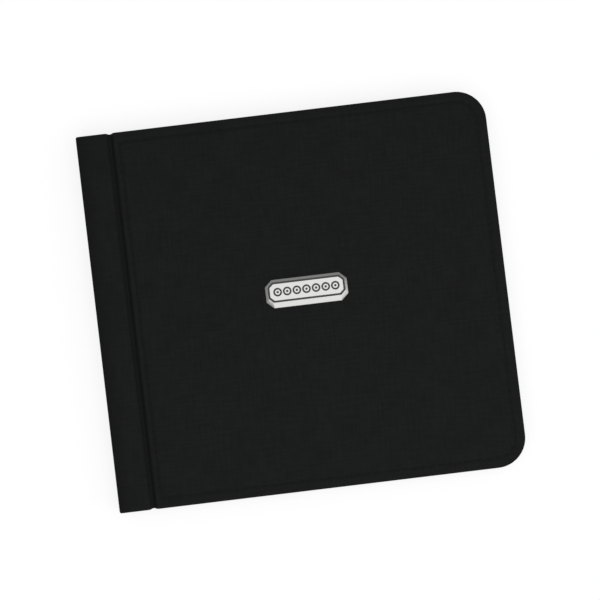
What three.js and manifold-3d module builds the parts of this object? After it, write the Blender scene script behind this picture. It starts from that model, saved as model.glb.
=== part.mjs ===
// Side-bound coin album: two skin-covered covers, a clamped binding block and clear pocket leaves.
// Millimetres, +Z up. The album lies closed on its rear cover with its front cover up, its spine
// at -X, its fore-edge at +X and its head at +Y. The origin is the centre of the footprint.

import * as THREE from 'three';
import { mergeVertices } from 'three/addons/utils/BufferGeometryUtils.js';
import Module from 'manifold-3d';

// ---------------------------------------------------------------- driving dimensions

const albumWidth = 200; // spine face to fore-edge
const albumHeight = 184.4; // head to tail
const stripWidth = 15; // flat strip of skin over the binding block
const grooveWidth = 3.3; // flexible groove between the strip and a cover panel
const grooveNotch = 0.6; // the groove's ends stand back this far from the head and tail
const cornerRadius = 14.6; // the panels' two fore-edge corners

const skinThickness = 0.8; // leather-cloth
const boardThickness = 2.0; // grey board in the covers and strips
const spineBoardThickness = 1.2;
const liningThickness = 0.4;
const turnIn = 2.0; // skin turned in round the edge of a lining
const glueLine = 0.1; // bonded layers lie this far apart

const stitchInset = 4.8; // head, tail and fore-edge stitches, from the panel's edge
const grooveStitchInset = 2.5; // stitches beside the groove, from the panel's edge
const threadWidth = 0.5;
const threadThickness = 0.3;
const threadClearance = 0.3; // from the thread to the walls of its channel
const threadSink = 0.05; // the thread lies this far under the skin's face

const leafCount = 8;
const pocketColumns = 3;
const pocketRows = 3;
const filmThickness = 0.25;
const filmGap = 0.15; // between a leaf's two films
const leafPitch = 0.9; // leaf to leaf through the closed block
const leafClearance = 0.3; // from a lining to the nearest leaf
const leafInset = 4.0; // leaf edges stand in from the cover edges
const leafBindingMargin = 5.8; // plain film between the fold and the first pocket weld
const weldWidth = 3.0;
const mouthHeight = 0.8; // slit that is a pocket's mouth
const mouthInset = 1.0; // from a weld to the end of a mouth
const thumbRadius = 8.0; // half-moon below each mouth

const foldClearance = 2.5; // a turning leaf starts this far past the fold line
const tabReach = 1.0; // a clamped tab ends this far past the fold line
const lipClearance = 0.15; // skin and lining stop this short of the fold line on each side

const rivetRadius = 1.5;
const rivetHeadRadius = 3.2;
const rivetHeadThickness = 0.6;
const rivetClearance = 0.3; // round the shank and round the heads
const rivetSpacing = 65; // between neighbours along the strip

const badgeLength = 40;
const badgeHeight = 13.8;
const badgeThickness = 1.1;
const badgeRim = 1.2; // bevel at the badge's head and sides
const badgeFoot = 2.8; // wide bevel at the badge's tail
const badgeCorner = 3.5; // cut corners
const badgeFromSpine = 103; // spine face to the badge's centre
const badgeAboveMiddle = 4.6; // album's mid-height to the badge's centre
const legSpacing = 24;
const legWidth = 3.0;
const legThickness = 0.5;
const legFoot = 2.5; // length of a leg's clinched foot
const legClearance = 0.3; // round a leg in its slots
const clinchPlateThickness = 0.4;
const clinchPlateMargin = 3.0; // plate past the legs and feet, all round

const arcSegments = 5; // to each curve of an outline, which three.js doubles on an arc
const roundSegments = 16;
const cutExtra = 1; // a cutting tool runs this far past the face it opens

// ---------------------------------------------------------------- places that follow from them

const boardDepth = skinThickness + glueLine; // depths are measured in from a cover's outer face
const liningDepth = boardDepth + boardThickness + glueLine;
const coverThickness = liningDepth + liningThickness;
const grooveDepth = liningDepth - glueLine - skinThickness;
const leafThickness = 2 * filmThickness + filmGap;
const tabThickness = leafPitch - glueLine;
const blockThickness = (leafCount - 1) * leafPitch + leafThickness + 2 * leafClearance;
const albumThickness = 2 * coverThickness + blockThickness;

const spineFace = -albumWidth / 2;
const foreEdge = albumWidth / 2;
const head = albumHeight / 2;
const stripEdge = spineFace + stripWidth;
const panelEdge = stripEdge + grooveWidth;
const foldLine = stripEdge + grooveWidth / 2;

const stripBoardLeft = spineFace + skinThickness + glueLine + spineBoardThickness + glueLine;
const stripBoardRight = stripEdge - skinThickness - glueLine;
const boardHead = head - skinThickness - glueLine;
const liningHead = head - turnIn - glueLine;
const rivetX = (stripBoardLeft + stripBoardRight) / 2;
const rivetHeadDepth = boardDepth + glueLine;
const rivetPlaces = { upper: rivetSpacing, middle: 0, lower: -rivetSpacing };

const leafLeft = foldLine + foldClearance;
const leafRight = foreEdge - leafInset;
const leafHead = head - leafInset;
const columnPitch = (leafRight - leafLeft - leafBindingMargin - weldWidth) / pocketColumns;
const rowPitch = (2 * leafHead - weldWidth) / pocketRows;

const badgeX = spineFace + badgeFromSpine;
const badgeY = badgeAboveMiddle;
const legDrop = liningDepth - 2 * glueLine; // the feet's lowest depth
const clinchPlateDepth = legDrop - legThickness - glueLine - clinchPlateThickness;
const clinchHalfLength = legSpacing / 2 + legFoot + clinchPlateMargin;
const clinchHalfHeight = legWidth / 2 + clinchPlateMargin;

const front = 1; // which cover a piece belongs to
const rear = -1;

// ---------------------------------------------------------------- materials

function finish(color, roughness, metalness = 0) {
  return new THREE.MeshStandardMaterial({ color, roughness, metalness });
}

const leatherCloth = finish(0x1c1e1d, 0.62);
const thread = finish(0x161817, 0.8);
const greyBoard = finish(0x8c857a, 0.95);
const liningCloth = finish(0x202221, 0.85);
const nickel = finish(0xd9d9d9, 0.28, 1);
const rivetSteel = finish(0xa9abad, 0.35, 1);
const clearFilm = finish(0xdfe6ea, 0.2);
clearFilm.transparent = true;
clearFilm.opacity = 0.4;

// ---------------------------------------------------------------- shapes and solids

const wasm = await Module();
wasm.setup();

// An outline from a list of [x, y] corners.
function outline(points) {
  return new THREE.Shape(points.map(([x, y]) => new THREE.Vector2(x, y)));
}

// A rectangle between two corners.
function rectangle(left, tail, right, top) {
  return outline([[left, tail], [right, tail], [right, top], [left, top]]);
}

// A cover's outline: square at the spine side, round at the fore-edge, inset from the panel's edges.
function panelOutline(left, inset) {
  const right = foreEdge - inset;
  const top = head - inset;
  const radius = cornerRadius - inset;
  const shape = new THREE.Shape();
  shape.moveTo(left, top);
  shape.lineTo(left, -top);
  shape.absarc(right - radius, -top + radius, radius, -Math.PI / 2, 0, false);
  shape.absarc(right - radius, top - radius, radius, 0, Math.PI / 2, false);
  shape.closePath();
  return shape;
}

// An upright cylinder on the line of the rivets.
function rivetBore(y, radius, low, high) {
  const geometry = new THREE.CylinderGeometry(radius, radius, high - low, roundSegments);
  return geometry.rotateX(Math.PI / 2).translate(rivetX, y, (low + high) / 2);
}

// A flat solid of an outline, between two heights.
function slab(shape, low, high) {
  const options = { depth: high - low, bevelEnabled: false, curveSegments: arcSegments };
  return new THREE.ExtrudeGeometry(shape, options).translate(0, 0, low);
}

// A flat solid on a cover, between two depths from that cover's outer face.
function layer(side, shape, nearDepth, farDepth) {
  if (side === front) {
    return slab(shape, albumThickness - farDepth, albumThickness - nearDepth);
  }
  return slab(shape, nearDepth, farDepth);
}

function box(low, high) {
  const size = high.map((value, i) => value - low[i]);
  const middle = high.map((value, i) => (value + low[i]) / 2);
  return new THREE.BoxGeometry(...size).translate(...middle);
}

function toSolid(geometry) {
  const bare = geometry.clone();
  bare.deleteAttribute('normal');
  bare.deleteAttribute('uv');
  const merged = mergeVertices(bare, 1e-5);
  const vertProperties = new Float32Array(merged.attributes.position.array);
  const triVerts = new Uint32Array(merged.index.array);
  return new wasm.Manifold(new wasm.Mesh({ numProp: 3, vertProperties, triVerts }));
}

function fromSolid(solid) {
  const mesh = solid.getMesh();
  const geometry = new THREE.BufferGeometry();
  geometry.setAttribute('position', new THREE.BufferAttribute(mesh.vertProperties, 3));
  geometry.setIndex(new THREE.BufferAttribute(mesh.triVerts, 1));
  geometry.computeVertexNormals();
  return geometry;
}

// Joins the added pieces to the first, then cuts the others out of it.
function shaped(base, added, cut) {
  let solid = toSolid(base);
  for (const geometry of added) {
    solid = solid.add(toSolid(geometry));
  }
  for (const geometry of cut) {
    solid = solid.subtract(toSolid(geometry));
  }
  return fromSolid(solid);
}

function piece(name, geometry, material) {
  const mesh = new THREE.Mesh(geometry, material);
  mesh.name = name;
  return mesh;
}

// A flat solid with the three rivet holes through it.
function punched(geometry, extraCuts = []) {
  const holes = Object.values(rivetPlaces).map((y) => (
    rivetBore(y, rivetRadius + rivetClearance, -cutExtra, albumThickness + cutExtra)
  ));
  return shaped(geometry, [], [...holes, ...extraCuts]);
}

// ---------------------------------------------------------------- binding block

// The strip skin in section, from the middle of the spine over one strip and into its groove.
function spineSectionHalf(wall, spineWall) {
  const lipEnd = foldLine - lipClearance;
  const lipInside = grooveDepth + skinThickness;
  return [
    [spineFace, 0],
    [stripEdge, 0],
    [stripEdge, grooveDepth],
    [lipEnd, grooveDepth],
    [lipEnd, lipInside],
    [stripEdge - skinThickness, lipInside],
    [stripEdge - skinThickness, wall],
    [spineFace + spineWall, wall],
  ];
}

// The whole section as a C, extruded from one height on the album to another.
function spineSection(points, tail, top) {
  const rearHalf = points.map(([x, depth]) => [x, depth]);
  const frontHalf = points.map(([x, depth]) => [x, albumThickness - depth]).reverse();
  const geometry = slab(outline([...rearHalf, ...frontHalf]), -top, -tail);
  return geometry.rotateX(Math.PI / 2);
}

function spineSkin() {
  const wrap = spineSection(spineSectionHalf(skinThickness, skinThickness), -head, head);
  const capDepth = grooveDepth + skinThickness;
  const capSection = [
    [spineFace, 0],
    [stripEdge, 0],
    [stripEdge, capDepth],
    [stripBoardLeft, capDepth],
  ];
  const caps = [
    spineSection(capSection, head - skinThickness, head),
    spineSection(capSection, -head, skinThickness - head),
  ];
  const notches = [1, -1].map((end) => box(
    [stripEdge, Math.min(end * (head - grooveNotch), end * (head + cutExtra)), -cutExtra],
    [panelEdge, Math.max(end * (head - grooveNotch), end * (head + cutExtra)), albumThickness + cutExtra],
  ));
  return piece('spine_skin', shaped(wrap, caps, notches), leatherCloth);
}

function spineBoard() {
  const left = spineFace + skinThickness + glueLine;
  const low = [left, -boardHead, boardDepth];
  const high = [left + spineBoardThickness, boardHead, albumThickness - boardDepth];
  return piece('spine_board', box(low, high), greyBoard);
}

function stripBoard(side, name) {
  const shape = rectangle(stripBoardLeft, -boardHead, stripBoardRight, boardHead);
  const board = layer(side, shape, boardDepth, boardDepth + boardThickness);
  const seatDepth = rivetHeadDepth + rivetHeadThickness + glueLine;
  const seatLow = side === front ? albumThickness - seatDepth : 0;
  const seatHigh = side === front ? albumThickness : seatDepth;
  const seats = Object.values(rivetPlaces).map((y) => (
    rivetBore(y, rivetHeadRadius + rivetClearance, seatLow, seatHigh)
  ));
  return piece(name, punched(board, seats), greyBoard);
}

function stripLining(side, name) {
  const right = foldLine - lipClearance;
  const shape = rectangle(stripBoardLeft, -liningHead, right, liningHead);
  const geometry = layer(side, shape, liningDepth, coverThickness);
  return piece(name, punched(geometry), liningCloth);
}

// A rivet as it is once both heads are set.
function bindingRivet(name, y) {
  const low = rivetHeadDepth;
  const high = albumThickness - rivetHeadDepth;
  const profile = [
    [0, low],
    [rivetHeadRadius, low],
    [rivetHeadRadius, low + rivetHeadThickness],
    [rivetRadius, low + rivetHeadThickness],
    [rivetRadius, high - rivetHeadThickness],
    [rivetHeadRadius, high - rivetHeadThickness],
    [rivetHeadRadius, high],
    [0, high],
  ];
  const points = profile.map(([radius, z]) => new THREE.Vector2(radius, z));
  const geometry = new THREE.LatheGeometry(points, roundSegments).rotateX(Math.PI / 2);
  const rivet = piece(name, geometry, rivetSteel);
  rivet.position.set(rivetX, y, 0);
  return rivet;
}

function bindingBlock() {
  const group = new THREE.Group();
  group.add(spineSkin());
  group.add(spineBoard());
  group.add(stripBoard(front, 'front_strip_board'));
  group.add(stripBoard(rear, 'rear_strip_board'));
  group.add(stripLining(front, 'front_strip_lining'));
  group.add(stripLining(rear, 'rear_strip_lining'));
  for (const [place, y] of Object.entries(rivetPlaces)) {
    group.add(bindingRivet(`binding_rivet_${place}`, y));
  }
  return group;
}

// ---------------------------------------------------------------- covers

// A closed band that follows a panel's stitch line, as wide on each side of it as stated.
function stitchBand(halfWidth) {
  const band = panelOutline(panelEdge + grooveStitchInset - halfWidth, stitchInset - halfWidth);
  const hole = panelOutline(panelEdge + grooveStitchInset + halfWidth, stitchInset + halfWidth);
  band.holes.push(hole);
  return band;
}

function legSlots(side, clearance, nearDepth, farDepth) {
  return [1, -1].map((hand) => {
    const x = badgeX + hand * legSpacing / 2;
    const halfThickness = legThickness / 2 + clearance;
    const halfWidth = legWidth / 2 + clearance;
    const shape = rectangle(x - halfThickness, badgeY - halfWidth, x + halfThickness, badgeY + halfWidth);
    return layer(side, shape, nearDepth, farDepth);
  });
}

// Outer skin: face, edges turned over the board and in under it, and a lip down into the groove.
function coverSkin(side, name, cuts) {
  const body = layer(side, panelOutline(panelEdge, 0), 0, coverThickness);
  const lipHead = head - grooveNotch;
  const lipShape = rectangle(foldLine + lipClearance, -lipHead, panelEdge + skinThickness, lipHead);
  const lip = layer(side, lipShape, grooveDepth, grooveDepth + skinThickness);
  const boardRoom = panelOutline(panelEdge + skinThickness, skinThickness);
  const liningRoom = panelOutline(panelEdge - cutExtra, turnIn);
  const channelDepth = threadSink + threadThickness + glueLine;
  const channel = stitchBand(threadWidth / 2 + threadClearance);
  const tools = [
    layer(side, boardRoom, skinThickness, liningDepth),
    layer(side, liningRoom, grooveDepth + skinThickness, coverThickness + cutExtra),
    layer(side, channel, -cutExtra, channelDepth),
    ...cuts,
  ];
  return piece(name, shaped(body, [lip], tools), leatherCloth);
}

function coverBoard(side, name, cuts) {
  const inset = skinThickness + glueLine;
  const shape = panelOutline(panelEdge + inset, inset);
  const board = layer(side, shape, boardDepth, boardDepth + boardThickness);
  return piece(name, shaped(board, [], cuts), greyBoard);
}

function coverLining(side, name) {
  const shape = panelOutline(foldLine + lipClearance, turnIn + glueLine);
  return piece(name, layer(side, shape, liningDepth, coverThickness), liningCloth);
}

function coverStitching(side, name) {
  const geometry = layer(side, stitchBand(threadWidth / 2), threadSink, threadSink + threadThickness);
  return piece(name, geometry, thread);
}

// An oblong with cut corners, centred on the badge.
function badgeOutline(halfLength, halfHeight, corner) {
  return outline([
    [halfLength, -halfHeight + corner],
    [halfLength, halfHeight - corner],
    [halfLength - corner, halfHeight],
    [-halfLength + corner, halfHeight],
    [-halfLength, halfHeight - corner],
    [-halfLength, -halfHeight + corner],
    [-halfLength + corner, -halfHeight],
    [halfLength - corner, -halfHeight],
  ]);
}

// Metal plate with bevelled edges and two legs whose feet are clinched behind the board.
function badgePlate() {
  const bevel = badgeThickness / 2;
  const options = {
    depth: badgeThickness - bevel - glueLine,
    bevelEnabled: true,
    bevelThickness: bevel,
    bevelSize: badgeRim,
    bevelOffset: -badgeRim,
    bevelSegments: 1,
  };
  const shape = badgeOutline(badgeLength / 2, badgeHeight / 2, badgeCorner);
  const blank = new THREE.ExtrudeGeometry(shape, options).translate(badgeX, badgeY, 0);
  blank.translate(0, 0, albumThickness + glueLine);
  const underside = box(
    [badgeX - badgeLength, badgeY - badgeHeight, albumThickness - badgeThickness],
    [badgeX + badgeLength, badgeY + badgeHeight, albumThickness + glueLine],
  );
  const footSlope = Math.atan2(bevel, badgeFoot);
  const footCut = new THREE.BoxGeometry(2 * badgeLength, 2 * badgeFoot, badgeThickness);
  footCut.translate(0, 0, badgeThickness / 2);
  footCut.rotateX(footSlope);
  const badgeTop = albumThickness + badgeThickness;
  footCut.translate(badgeX, badgeY - badgeHeight / 2 + badgeFoot / 2, badgeTop - bevel / 2);
  const legs = [];
  for (const hand of [1, -1]) {
    const x = badgeX + hand * legSpacing / 2;
    const footEnd = x + hand * legFoot;
    const legTop = albumThickness + badgeThickness / 2;
    const footLow = albumThickness - legDrop;
    const legLow = [x - legThickness / 2, badgeY - legWidth / 2, footLow];
    const legHigh = [x + legThickness / 2, badgeY + legWidth / 2, legTop];
    legs.push(box(legLow, legHigh));
    legs.push(box(
      [Math.min(x, footEnd), badgeY - legWidth / 2, footLow],
      [Math.max(x, footEnd), badgeY + legWidth / 2, footLow + legThickness],
    ));
  }
  const plate = shaped(blank, [], [underside, footCut]);
  return piece('badge_plate', shaped(plate, legs, []), nickel);
}

function badgeClinchPlate() {
  const shape = rectangle(
    badgeX - clinchHalfLength,
    badgeY - clinchHalfHeight,
    badgeX + clinchHalfLength,
    badgeY + clinchHalfHeight,
  );
  const farDepth = clinchPlateDepth + clinchPlateThickness;
  const plate = layer(front, shape, clinchPlateDepth, farDepth);
  const slots = legSlots(front, legClearance, clinchPlateDepth - cutExtra, farDepth + cutExtra);
  return piece('badge_clinch_plate', shaped(plate, [], slots), rivetSteel);
}

function clinchPocket() {
  const shape = rectangle(
    badgeX - clinchHalfLength - legClearance,
    badgeY - clinchHalfHeight - legClearance,
    badgeX + clinchHalfLength + legClearance,
    badgeY + clinchHalfHeight + legClearance,
  );
  return layer(front, shape, clinchPlateDepth - glueLine, liningDepth);
}

function frontCover() {
  const group = new THREE.Group();
  const slots = legSlots(front, legClearance, -cutExtra, liningDepth);
  group.add(coverSkin(front, 'front_cover_skin', slots));
  group.add(coverBoard(front, 'front_cover_board', [...slots, clinchPocket()]));
  group.add(coverLining(front, 'front_cover_lining'));
  group.add(coverStitching(front, 'front_cover_stitching'));
  group.add(badgePlate());
  group.add(badgeClinchPlate());
  return group;
}

function rearCover() {
  const group = new THREE.Group();
  group.add(coverSkin(rear, 'rear_cover_skin', []));
  group.add(coverBoard(rear, 'rear_cover_board', []));
  group.add(coverLining(rear, 'rear_cover_lining'));
  group.add(coverStitching(rear, 'rear_cover_stitching'));
  return group;
}

// ---------------------------------------------------------------- leaves

// Height of a leaf's underside in the closed album, counted from the front cover.
function leafLow(number) {
  return coverThickness + leafClearance + (leafCount - number) * leafPitch;
}

// A pocket's mouth: a slit under the weld above it, with a half-moon for the thumb.
function pocketMouth(column, row, low, high) {
  const left = leafRight - weldWidth - (column + 1) * columnPitch + weldWidth + mouthInset;
  const right = leafRight - weldWidth - column * columnPitch - mouthInset;
  const top = leafHead - weldWidth - row * rowPitch;
  const bottom = top - mouthHeight;
  const middle = (left + right) / 2;
  const mouth = new THREE.Shape();
  mouth.moveTo(left, top);
  mouth.lineTo(left, bottom);
  mouth.absarc(middle, bottom, thumbRadius, Math.PI, 2 * Math.PI, false);
  mouth.lineTo(right, bottom);
  mouth.lineTo(right, top);
  mouth.closePath();
  return slab(mouth, low, high);
}

// The turning part of a leaf: a plain back film and a front film with the pockets' mouths.
function leaf(number) {
  const group = new THREE.Group();
  const low = leafLow(number);
  const frontLow = low + filmThickness + filmGap;
  const frontHigh = frontLow + filmThickness;
  const shape = rectangle(leafLeft, -leafHead, leafRight, leafHead);
  const mouths = [];
  for (let column = 0; column < pocketColumns; column += 1) {
    for (let row = 0; row < pocketRows; row += 1) {
      mouths.push(pocketMouth(column, row, frontLow - cutExtra, frontHigh + cutExtra));
    }
  }
  const frontFilm = shaped(slab(shape, frontLow, frontHigh), [], mouths);
  const backFilm = slab(shape, low, low + filmThickness);
  group.add(piece(`leaf_${number}_front_film`, frontFilm, clearFilm));
  group.add(piece(`leaf_${number}_back_film`, backFilm, clearFilm));
  return group;
}

// The clamped margin of a leaf, riveted into the block.
function leafTab(number) {
  const low = leafLow(number) - (tabThickness - leafThickness) / 2;
  const shape = rectangle(stripBoardLeft, -leafHead, foldLine + tabReach, leafHead);
  const geometry = slab(shape, low, low + tabThickness);
  return piece(`leaf_${number}_binding_tab`, punched(geometry), clearFilm);
}

// ---------------------------------------------------------------- the album

const album = new THREE.Group();
album.add(bindingBlock());
album.add(frontCover());
album.add(rearCover());
for (let number = 1; number <= leafCount; number += 1) {
  album.add(leafTab(number));
  album.add(leaf(number));
}

export default album;
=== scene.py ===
"""Side-bound coin album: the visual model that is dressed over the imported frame.

The album lies closed on its rear cover. Every length is in metres and every piece sits where
the frame says. Each sub-assembly is a class with its sizes as fields, each finish is a frozen
dataclass, and main() builds them in order.
"""

import logging
import math
from collections.abc import Sequence
from dataclasses import dataclass, field
from enum import Enum

import bpy
import numpy as np
from mathutils import Matrix, Vector


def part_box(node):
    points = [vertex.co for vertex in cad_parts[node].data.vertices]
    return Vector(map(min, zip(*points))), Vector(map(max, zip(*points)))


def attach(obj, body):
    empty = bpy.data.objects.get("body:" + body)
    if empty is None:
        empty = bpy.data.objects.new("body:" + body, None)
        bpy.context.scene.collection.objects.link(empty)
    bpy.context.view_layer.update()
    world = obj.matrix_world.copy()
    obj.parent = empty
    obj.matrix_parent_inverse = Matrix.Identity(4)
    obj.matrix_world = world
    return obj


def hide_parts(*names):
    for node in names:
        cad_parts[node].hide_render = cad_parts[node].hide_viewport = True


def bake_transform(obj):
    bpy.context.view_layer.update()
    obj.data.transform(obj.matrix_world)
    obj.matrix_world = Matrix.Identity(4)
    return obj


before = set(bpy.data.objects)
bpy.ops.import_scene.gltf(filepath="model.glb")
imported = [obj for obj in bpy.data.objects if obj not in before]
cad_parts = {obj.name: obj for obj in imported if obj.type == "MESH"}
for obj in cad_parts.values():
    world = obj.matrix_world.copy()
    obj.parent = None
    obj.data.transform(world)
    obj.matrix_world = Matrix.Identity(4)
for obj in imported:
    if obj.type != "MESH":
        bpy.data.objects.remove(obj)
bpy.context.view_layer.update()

LOG = logging.getLogger("coin_album")
MM = 0.001
ARCH_STEPS = 6
THREAD_SIDES = 7
RING_SIDES = 28
DOT_SIDES = 20

Colour = tuple[float, float, float, float]
Face = tuple[int, ...]
Material = bpy.types.Material
Node = bpy.types.Node
Piece = bpy.types.Object
Place = tuple[float, float]
Point = tuple[float, float, float]
Socket = bpy.types.NodeSocket
Tree = bpy.types.NodeTree


class Side(Enum):
    """Which cover a piece belongs to. The value is the way its outer face looks along Z."""

    FRONT = 1
    REAR = -1

    @property
    def cover(self) -> str:
        """The body that the cover moves with."""
        return "front_cover" if self is Side.FRONT else "rear_cover"

    @property
    def word(self) -> str:
        """The word that starts this side's piece names."""
        return "front" if self is Side.FRONT else "rear"


# ------------------------------------------------------------------------------ small helpers


def linear(hex_code: str) -> Colour:
    """Turns an sRGB hex colour into the linear colour that a shader takes.

    Args:
        hex_code: A colour such as "#1c1e1d".

    Returns:
        Red, green, blue and an alpha of 1.
    """
    parts = [int(hex_code[i:i + 2], 16) / 255 for i in (1, 3, 5)]
    red, green, blue = (p / 12.92 if p <= 0.04045 else ((p + 0.055) / 1.055) ** 2.4 for p in parts)
    return (red, green, blue, 1.0)


def add(tree: Tree, kind: str, settings: dict | None = None, links: dict | None = None) -> Node:
    """Adds one node to a tree.

    Args:
        tree: The tree of a material, of the world or of a modifier.
        kind: The node's Blender type.
        settings: Attributes by lower-case name, and inputs by their own name or number.
        links: What feeds each input, by name or number: a socket, or a node for its first output.

    Returns:
        The new node.
    """
    node = tree.nodes.new(kind)
    for name, value in (settings or {}).items():
        if isinstance(name, int) or name[0].isupper():
            node.inputs[name].default_value = value
        else:
            setattr(node, name, value)
    for name, feed in (links or {}).items():
        tree.links.new(feed.outputs[0] if isinstance(feed, Node) else feed, node.inputs[name])
    return node


def new_piece(
    name: str,
    points: Sequence[Point],
    edges: Sequence[tuple[int, int]] = (),
    faces: Sequence[Face] = (),
) -> Piece:
    """Makes a mesh object at the origin and links it to the scene.

    Args:
        name: The piece's name.
        points: Its points in the shared frame.
        edges: Its loose edges, as numbers of points.
        faces: Its faces, as numbers of points.

    Returns:
        The object.
    """
    mesh = bpy.data.meshes.new(name)
    mesh.from_pydata([tuple(p) for p in points], [tuple(e) for e in edges], [tuple(f) for f in faces])
    piece = bpy.data.objects.new(name, mesh)
    bpy.context.scene.collection.objects.link(piece)
    return piece


def mesh_piece(
    name: str, points: Sequence[Point], faces: Sequence[Face], materials: Sequence[Material]
) -> Piece:
    """Makes a piece of faces.

    Args:
        name: The piece's name.
        points: Its points in the shared frame.
        faces: Its faces, as numbers of points.
        materials: Its material slots in order.

    Returns:
        The piece.
    """
    piece = new_piece(name, points, faces=faces)
    piece.data.validate()
    for material in materials:
        piece.data.materials.append(material)
    return piece


def shade_by_angle(piece: Piece, degrees: float) -> None:
    """Shades a piece smooth, with sharp edges where it turns by more than the angle."""
    piece.data.shade_smooth()
    piece.data.set_sharp_from_angle(angle=math.radians(degrees))


def settle(piece: Piece) -> Piece:
    """Turns a piece and its modifiers into a plain mesh with no modifier left.

    Args:
        piece: An object with live modifiers.

    Returns:
        The same object, with the evaluated mesh as its own.
    """
    bpy.context.view_layer.update()
    depsgraph = bpy.context.evaluated_depsgraph_get()
    finished = bpy.data.meshes.new_from_object(piece.evaluated_get(depsgraph))
    piece.modifiers.clear()
    piece.data = finished
    return piece


def thicken(piece: Piece, thickness: float) -> Piece:
    """Gives an open sheet its wall, behind its face.

    Args:
        piece: The sheet.
        thickness: How thick its wall becomes.

    Returns:
        The same piece, settled.
    """
    wall = piece.modifiers.new("thickness", "SOLIDIFY")
    wall.thickness = thickness
    wall.offset = -1.0
    wall.use_rim = True
    return settle(piece)


def even(start: float, end: float, steps: int) -> list[float]:
    """Evenly spaced stations from start to end, both ends among them."""
    return [start + (end - start) * k / steps for k in range(steps + 1)]


def graded(start: float, end: float, focuses: Sequence[float], fine: float, coarse: float) -> list[float]:
    """Stations from start to end that lie close together near each focus.

    Args:
        start: The first station.
        end: The last station.
        focuses: Places that need short steps.
        fine: The step at a focus.
        coarse: The longest step.

    Returns:
        The stations, both ends among them.
    """
    growth = 0.45
    stations = [start]
    while stations[-1] < end:
        here = stations[-1]
        gap = min((abs(here + fine - f) for f in focuses), default=coarse)
        stations.append(here + min(coarse, fine + growth * gap))
    if len(stations) > 2 and end - stations[-2] < fine / 2:
        stations.pop(-2)
    stations[-1] = end
    return stations


def ease(value: float) -> float:
    """A smooth step from 0 to 1."""
    held = min(1.0, max(0.0, value))
    return held * held * (3 - 2 * held)


def on_arc(centre: Place, radius: float, degrees: float) -> Place:
    """The point of a circle at an angle, anticlockwise from +X."""
    angle = math.radians(degrees)
    return (centre[0] + radius * math.cos(angle), centre[1] + radius * math.sin(angle))


def outline_gap(x: float, y: float, half: Place, radius: float) -> float:
    """How far a point lies outside a round-cornered oblong that is centred on 0, 0.

    Args:
        x: The point's X.
        y: The point's Y.
        half: Half of the oblong's width and of its height.
        radius: The radius of its corners.

    Returns:
        The distance, negative inside.
    """
    over_x = abs(x) - half[0] + radius
    over_y = abs(y) - half[1] + radius
    outside = math.hypot(max(over_x, 0.0), max(over_y, 0.0))
    return outside + min(max(over_x, over_y), 0.0) - radius


# ------------------------------------------------------------------------------ finishes


def new_material(name: str) -> tuple[Material, Tree]:
    """Starts a node material.

    Args:
        name: The material's name.

    Returns:
        The material and its empty tree.
    """
    material = bpy.data.materials.new(name)
    material.use_nodes = True
    material.node_tree.nodes.clear()
    return material, material.node_tree


def grain(tree: Tree, size: float | Point, **settings: float) -> Node:
    """Lays random grain on the object's own coordinates.

    Args:
        tree: The material's tree.
        size: How large a grain is, or how large along X, Y and Z.
        settings: The noise's own settings.

    Returns:
        The noise, whose first output runs from 0 to 1.
    """
    place = add(tree, "ShaderNodeTexCoord").outputs["Object"]
    if isinstance(size, tuple):
        scale = tuple(1 / length for length in size)
        place = add(tree, "ShaderNodeMapping", {"Scale": scale}, {"Vector": place})
        size = 1.0
    return add(tree, "ShaderNodeTexNoise", {"Scale": 1 / size, **settings}, {"Vector": place})


def coat(
    tree: Tree,
    settings: dict,
    links: dict | None = None,
    tint: tuple[Node | Socket, str, str] | None = None,
    relief: tuple[Node | Socket, float, float] | None = None,
) -> None:
    """Ends a material with its colour, its relief, its shader and its output.

    Args:
        tree: The material's tree.
        settings: The shader's own settings.
        links: What feeds the shader's other inputs.
        tint: What mixes two colours, and the colours at 0 and at 1.
        relief: The height, how strongly it shows, and how high it stands.
    """
    feeds = dict(links or {})
    if tint:
        share, first, last = tint
        colours = {"data_type": "RGBA", 6: linear(first), 7: linear(last)}
        feeds["Base Color"] = add(tree, "ShaderNodeMix", colours, {0: share}).outputs[2]
    if relief:
        height, strength, rise = relief
        bump = {"Strength": strength, "Distance": rise}
        feeds["Normal"] = add(tree, "ShaderNodeBump", bump, {"Height": height})
    shader = add(tree, "ShaderNodeBsdfPrincipled", settings, feeds)
    add(tree, "ShaderNodeOutputMaterial", None, {"Surface": shader})


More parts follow.
